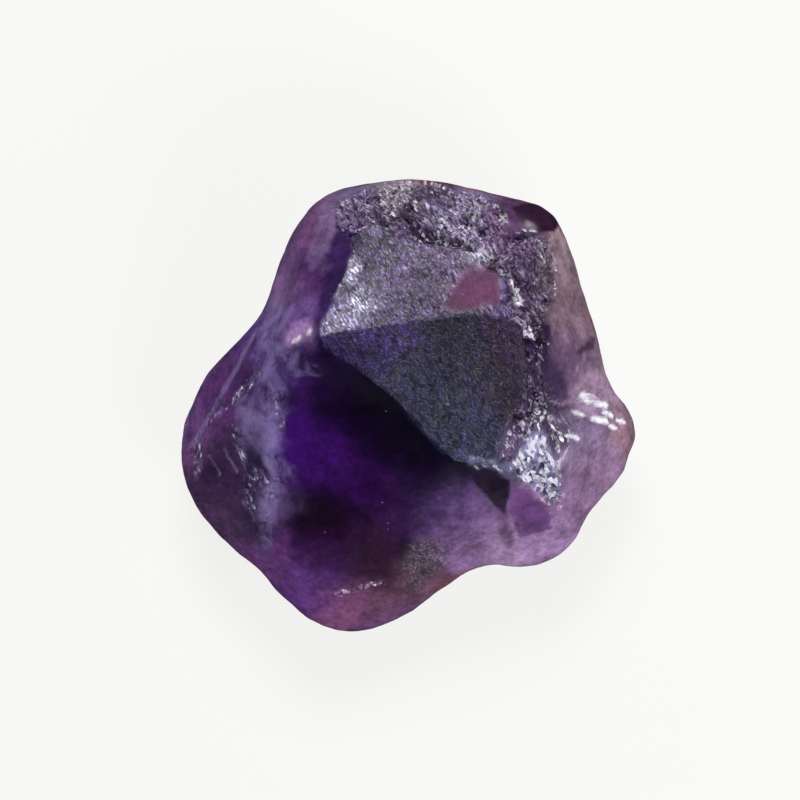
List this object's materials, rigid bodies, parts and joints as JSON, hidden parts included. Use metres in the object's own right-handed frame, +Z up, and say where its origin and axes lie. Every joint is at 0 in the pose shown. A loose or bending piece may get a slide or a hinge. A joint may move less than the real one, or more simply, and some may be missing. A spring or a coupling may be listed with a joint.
{
  "type": "rough amethyst chunk",
  "caption": "Rough chunk of violet amethyst quartz with frosted crystal faces, glassy conchoidal breaks, chipped edges and a flat broken base to rest on.",
  "frame": {"origin": "centre of the stone's bounding box, on the plane of the flat broken base it rests on", "axes": "+Z up through the thin direction of the stone, from the base to the crown faces; +Y towards the bright frosted face; +X towards the chipped side and the pale lobe"},
  "size_m": [0.0456, 0.0452, 0.023],
  "materials": {
    "amethyst": "translucent violet quartz, part frosted and part glassy where it broke"
  },
  "bodies": {
    "root": {"amethyst": "amethyst"}
  },
  "joints": []
}
